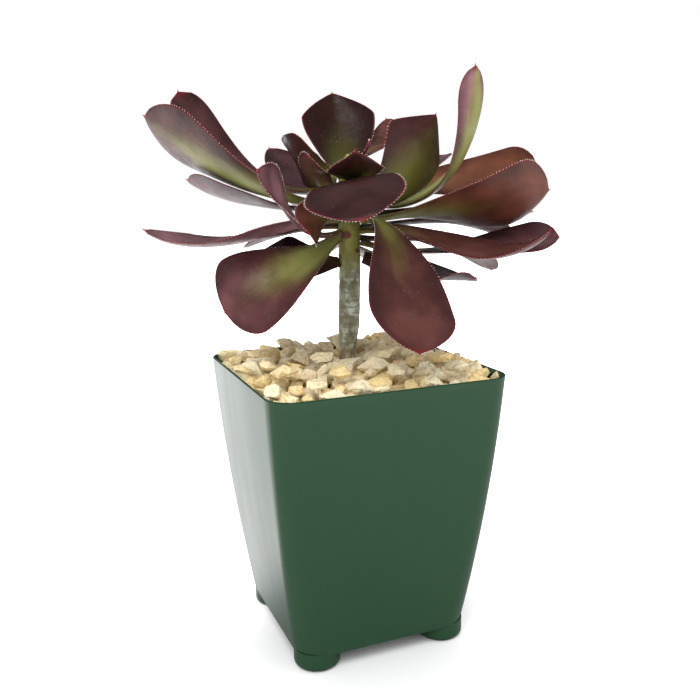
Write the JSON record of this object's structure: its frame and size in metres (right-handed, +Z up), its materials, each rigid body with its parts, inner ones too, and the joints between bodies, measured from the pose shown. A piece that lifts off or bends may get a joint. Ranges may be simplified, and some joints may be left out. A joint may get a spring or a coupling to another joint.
{
  "type": "potted aeonium",
  "caption": "Succulent plant with one open rosette of dark spoon-shaped leaves on a bare stem, in a square tapered plastic pot topped with stone chips.",
  "frame": {"origin": "centre of the pot's footprint, on the surface it stands on", "axes": "+Z up along the stem; the pot's four sides face -X, +X, -Y and +Y"},
  "size_m": [0.1687, 0.126, 0.2417],
  "materials": {
    "pot_plastic": "satin",
    "soil": "matte",
    "chip_stone": "matte",
    "stem_bark": "matte",
    "leaf_tissue": "satin"
  },
  "bodies": {
    "root": {"chip_back": "chip_stone", "chip_back_left": "chip_stone", "chip_back_right": "chip_stone", "chip_by_stem_back": "chip_stone", "chip_by_stem_left": "chip_stone", "chip_by_stem_right": "chip_stone", "chip_front": "chip_stone", "chip_front_corner": "chip_stone", "chip_front_left": "chip_stone", "chip_front_right": "chip_stone", "chip_layer": "chip_stone", "chip_left": "chip_stone", "chip_left_back": "chip_stone", "chip_right": "chip_stone", "chip_right_back": "chip_stone", "chip_right_corner": "chip_stone", "leaf_back_inner": "leaf_tissue", "leaf_back_left": "leaf_tissue", "leaf_back_lower_left": "leaf_tissue", "leaf_back_lower_right": "leaf_tissue", "leaf_back_lowest": "leaf_tissue", "leaf_back_middle": "leaf_tissue", "leaf_back_right": "leaf_tissue", "leaf_back_upright": "leaf_tissue", "leaf_back_wide": "leaf_tissue", "leaf_drooping_left": "leaf_tissue", "leaf_drooping_right": "leaf_tissue", "leaf_front": "leaf_tissue", "leaf_heart_back": "leaf_tissue", "leaf_heart_left": "leaf_tissue", "leaf_heart_right": "leaf_tissue", "leaf_heart_tip": "leaf_tissue", "leaf_inner_front": "leaf_tissue", "leaf_inner_left": "leaf_tissue", "leaf_left_curled": "leaf_tissue", "leaf_left_low_back": "leaf_tissue", "leaf_left_lower": "leaf_tissue", "leaf_left_middle": "leaf_tissue", "leaf_left_short": "leaf_tissue", "leaf_low_left": "leaf_tissue", "leaf_low_right": "leaf_tissue", "leaf_right_back": "leaf_tissue", "leaf_right_front": "leaf_tissue", "leaf_right_low_back": "leaf_tissue", "leaf_right_lower": "leaf_tissue", "leaf_right_middle": "leaf_tissue", "leaf_right_twisted": "leaf_tissue", "leaf_right_upper": "leaf_tissue", "leaf_rising_left": "leaf_tissue", "leaf_rising_left_back": "leaf_tissue", "leaf_upper_left": "leaf_tissue", "leaf_upright_right": "leaf_tissue", "leaf_upturned_right": "leaf_tissue", "pot": "pot_plastic", "potting_mix": "soil", "stem": "stem_bark"}
  },
  "joints": []
}
